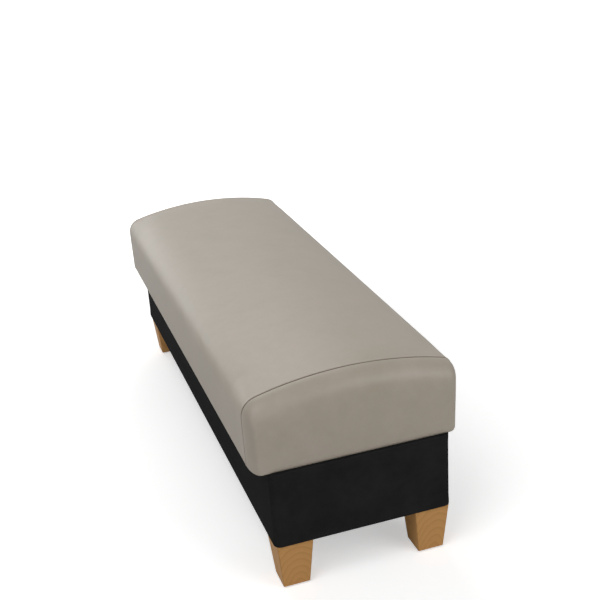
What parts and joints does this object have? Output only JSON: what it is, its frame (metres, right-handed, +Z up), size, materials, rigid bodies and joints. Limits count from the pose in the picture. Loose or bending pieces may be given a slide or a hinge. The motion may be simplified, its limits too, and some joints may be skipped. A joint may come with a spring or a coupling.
{
  "type": "bench",
  "caption": "Long upholstered bench with a crowned vinyl cushion, domed end panels, a black vinyl box base and short square tapered wooden legs.",
  "frame": {"origin": "on the floor under the middle of the bench", "axes": "+X along the bench's length, -Y towards its front long side, +Z up"},
  "size_m": [1.334, 0.457, 0.468],
  "materials": {
    "seat_vinyl": "satin upholstery vinyl, taupe",
    "base_vinyl": "satin upholstery vinyl, black",
    "dust_cloth": "matt non-woven cloth, black",
    "felt": "soft white polyester felt and wadding",
    "foam": "open-cell cushion foam, cream",
    "leg_wood": "clear-finished beech, satin",
    "plywood": "unfinished birch plywood",
    "block_wood": "unfinished hardwood",
    "glide_plastic": "off-white nylon glide",
    "zinc_steel": "zinc-plated steel"
  },
  "bodies": {
    "root": {"base_cover": "base_vinyl", "base_padding": "felt", "base_rail_back": "plywood", "base_rail_front": "plywood", "base_rail_left": "plywood", "base_rail_right": "plywood", "cleat_back": "block_wood", "cleat_front": "block_wood", "corner_block_back_left": "block_wood", "corner_block_back_right": "block_wood", "corner_block_front_left": "block_wood", "corner_block_front_right": "block_wood", "cross_brace_left": "plywood", "cross_brace_right": "plywood", "dust_cover": "dust_cloth", "glides": "glide_plastic", "leg_back_left": "leg_wood", "leg_back_right": "leg_wood", "leg_bolts": "zinc_steel", "leg_front_left": "leg_wood", "leg_front_right": "leg_wood", "leg_nuts": "zinc_steel", "seat_board": "plywood", "seat_end_cover_left": "seat_vinyl", "seat_end_cover_right": "seat_vinyl", "seat_foam_crown": "foam", "seat_foam_slab": "foam", "seat_screws": "zinc_steel", "seat_top_cover": "seat_vinyl", "seat_wadding": "felt"}
  },
  "joints": []
}
